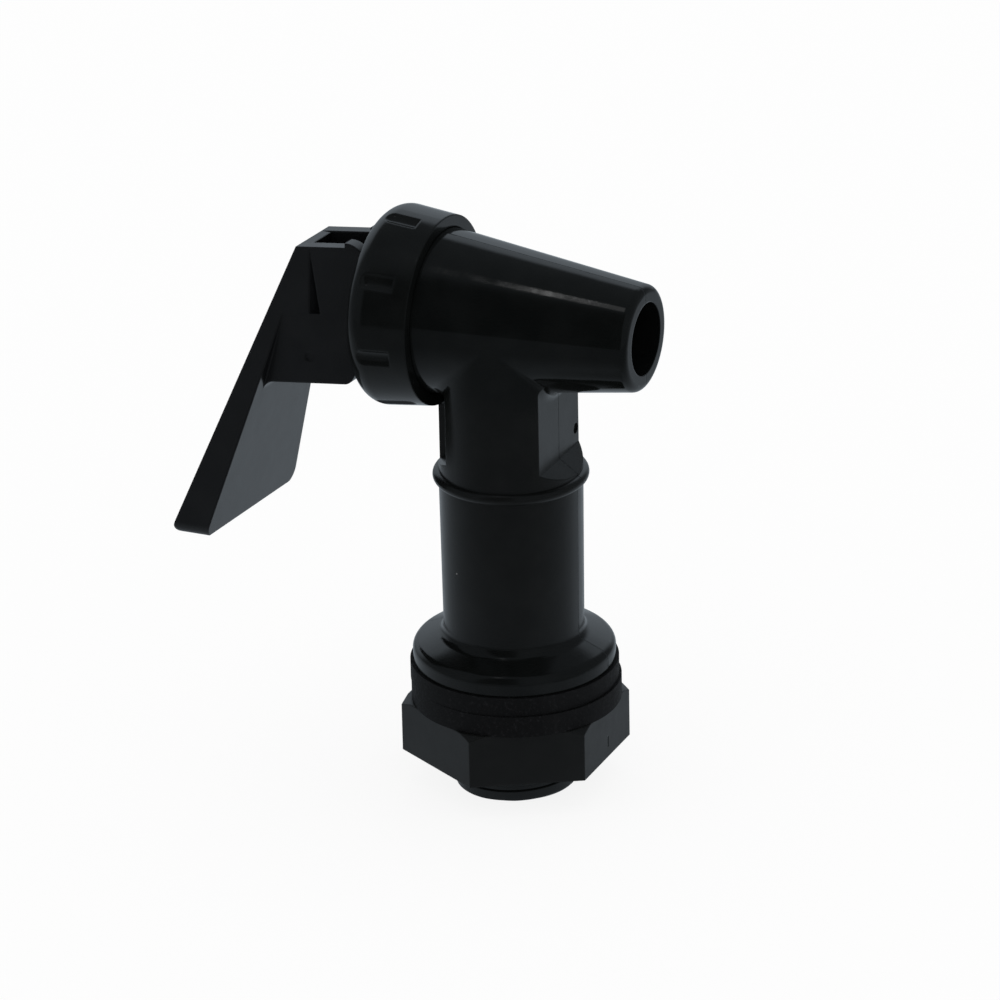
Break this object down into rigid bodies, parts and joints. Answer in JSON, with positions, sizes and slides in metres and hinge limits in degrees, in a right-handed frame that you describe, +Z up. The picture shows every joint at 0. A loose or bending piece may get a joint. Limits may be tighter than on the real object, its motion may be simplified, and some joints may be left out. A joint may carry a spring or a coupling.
{
  "type": "beverage dispensing faucet",
  "caption": "Lever faucet for a drinks dispenser: tapered barrel and spout on a threaded shank with flange, washers and hexagon nut, screw bonnet and spring-loaded seat cup.",
  "frame": {"origin": "centre of the shank's threaded end", "axes": "+Z up the shank towards the barrel, +X along the barrel towards the spout's mouth"},
  "size_m": [0.0847, 0.0423, 0.1086],
  "materials": {
    "body_plastic": "glossy barrel, satin shank",
    "bonnet_plastic": "glossy",
    "handle_plastic": "satin",
    "nut_plastic": "satin",
    "washer_rubber": "matte",
    "stem_plastic": "satin",
    "cup_silicone": "matte",
    "spring_steel": "drawn wire",
    "pin_steel": "ground"
  },
  "bodies": {
    "housing": {"body": "body_plastic", "bonnet": "bonnet_plastic", "upper_washer": "washer_rubber", "lower_washer": "washer_rubber", "hex_nut": "nut_plastic"},
    "swivel": {"spring": "spring_steel"},
    "valve": {"stem": "stem_plastic", "seat_cup": "cup_silicone", "pivot_pin": "pin_steel"},
    "lever": {"handle": "handle_plastic"}
  },
  "joints": [
    {"name": "handle_swivel", "type": "hinge", "parent": "housing", "child": "swivel", "pos_m": [0, 0, 0.0903], "axis": [1, 0, 0], "continuous": true},
    {"name": "stem_lift", "type": "slide", "parent": "swivel", "child": "valve", "axis": [-1, 0, 0], "range_m": [0, 0.0038], "deforming": ["spring", "seat_cup"]},
    {"name": "handle_tilt", "type": "hinge", "parent": "valve", "child": "lever", "pos_m": [-0.033, 0, 0.0903], "axis": [0, -0.9971, 0.0755], "range_deg": [0, 28], "stiffness_Nm_per_rad": 0.0534, "springref_deg": -59.53}
  ],
  "couplings": [
    {"joint": "stem_lift", "follows": "handle_tilt", "m_per_rad": 0.0077}
  ]
}
